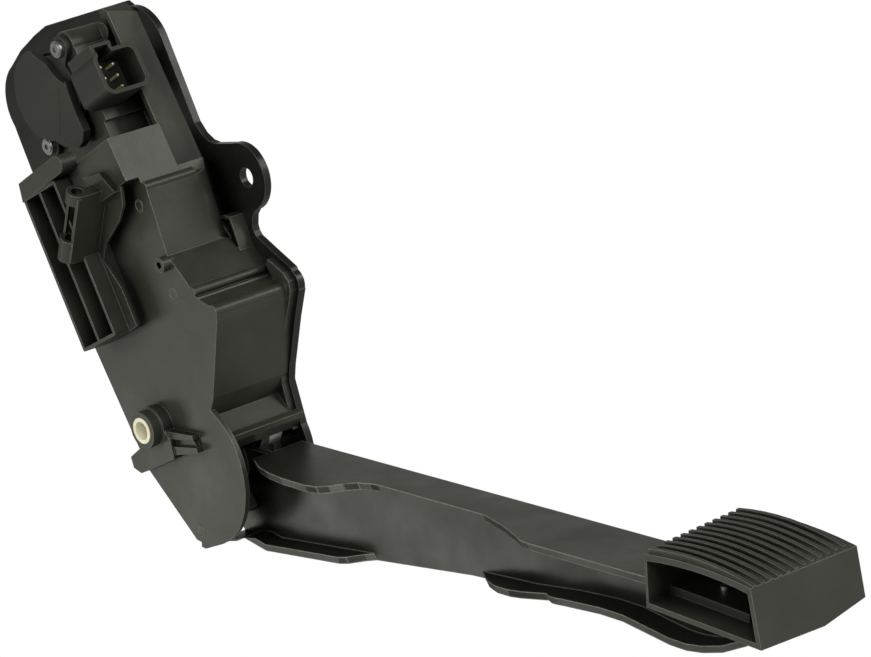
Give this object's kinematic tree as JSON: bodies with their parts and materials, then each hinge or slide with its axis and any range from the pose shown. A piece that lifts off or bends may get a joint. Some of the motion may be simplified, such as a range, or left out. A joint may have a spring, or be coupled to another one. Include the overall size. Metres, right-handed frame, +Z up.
{
  "type": "accelerator pedal",
  "caption": "Hanging accelerator pedal of a car with a ribbed pad, a moulded housing on a steel plate and a position sensor.",
  "frame": {"origin": "centre of the bolt hole in the plate's ear, on the plate's outer mounting face", "axes": "+X from the housing towards the pad, +Y out of the mounting face along the pivot axis, +Z up along the housing"},
  "size_m": [0.4233, 0.0708, 0.3994],
  "materials": {
    "plate_steel": "semi-gloss black dip coating on pressed steel",
    "housing_plastic": "fine eroded grain, dark grey, glass filled",
    "holder_plastic": "smooth dark grey, slightly lighter at the edges",
    "arm_plastic": "satin black, glass filled, light flow marks",
    "pad_rubber": "hard black rubber, ribbed, lightly worn",
    "sensor_plastic": "fine grain, dark grey",
    "bush_plastic": "smooth natural bearing plastic",
    "zinc_steel": "bright zinc plating",
    "sleeve_steel": "turned steel, pale passivated zinc",
    "spring_steel": "oiled spring wire",
    "friction_plastic": "dense brown friction plastic",
    "soft_rubber": "soft black rubber",
    "board": "varnished circuit board",
    "terminal_metal": "tinned brass",
    "magnet": "sintered magnet, matt grey"
  },
  "bodies": {
    "housing": {"mounting_plate": "plate_steel", "plate_screws": "zinc_steel", "housing": "housing_plastic", "harness_clip_holder": "holder_plastic", "compression_sleeve": "sleeve_steel", "pivot_pin": "zinc_steel", "thrust_washers": "zinc_steel", "friction_shoe": "friction_plastic", "friction_spring": "spring_steel", "idle_bumper": "soft_rubber", "full_travel_bumper": "soft_rubber", "spring_seat": "bush_plastic", "return_spring_outer": "spring_steel", "return_spring_inner": "spring_steel", "sensor_body": "sensor_plastic", "sensor_cap": "sensor_plastic", "sensor_board": "board", "sensor_terminals": "terminal_metal", "sensor_screws": "zinc_steel", "sensor_seal": "soft_rubber"},
    "pedal": {"pedal_arm": "arm_plastic", "pedal_pad": "pad_rubber", "pad_screw": "zinc_steel", "pivot_bushes": "bush_plastic", "crank_clip": "spring_steel"},
    "link": {"link_rod": "zinc_steel", "spring_cap": "bush_plastic"},
    "sensor_shaft": {"sensor_rotor": "sensor_plastic", "rotor_magnet": "magnet", "sensor_lever": "zinc_steel", "lever_clip": "spring_steel"}
  },
  "joints": [
    {"name": "pedal_hinge", "type": "hinge", "parent": "housing", "child": "pedal", "pos_m": [-0.067, -0.024, -0.106], "axis": [0, 1, 0], "range_deg": [0, 18], "stiffness_Nm_per_rad": 8, "springref_deg": -28.65},
    {"name": "sensor_shaft_hinge", "type": "hinge", "parent": "housing", "child": "sensor_shaft", "pos_m": [-0.067, -0.024, 0.0745], "axis": [0, 1, 0], "range_deg": [0, 18]},
    {"name": "link_hinge", "type": "hinge", "parent": "pedal", "child": "link", "pos_m": [-0.04922, -0.0145, -0.10318], "axis": [0, 1, 0], "range_deg": [-18, 0], "deforming": ["return_spring_outer", "return_spring_inner"]}
  ],
  "couplings": [
    {"joint": "sensor_shaft_hinge", "follows": "pedal_hinge", "ratio": 1},
    {"joint": "link_hinge", "follows": "pedal_hinge", "ratio": -1}
  ]
}
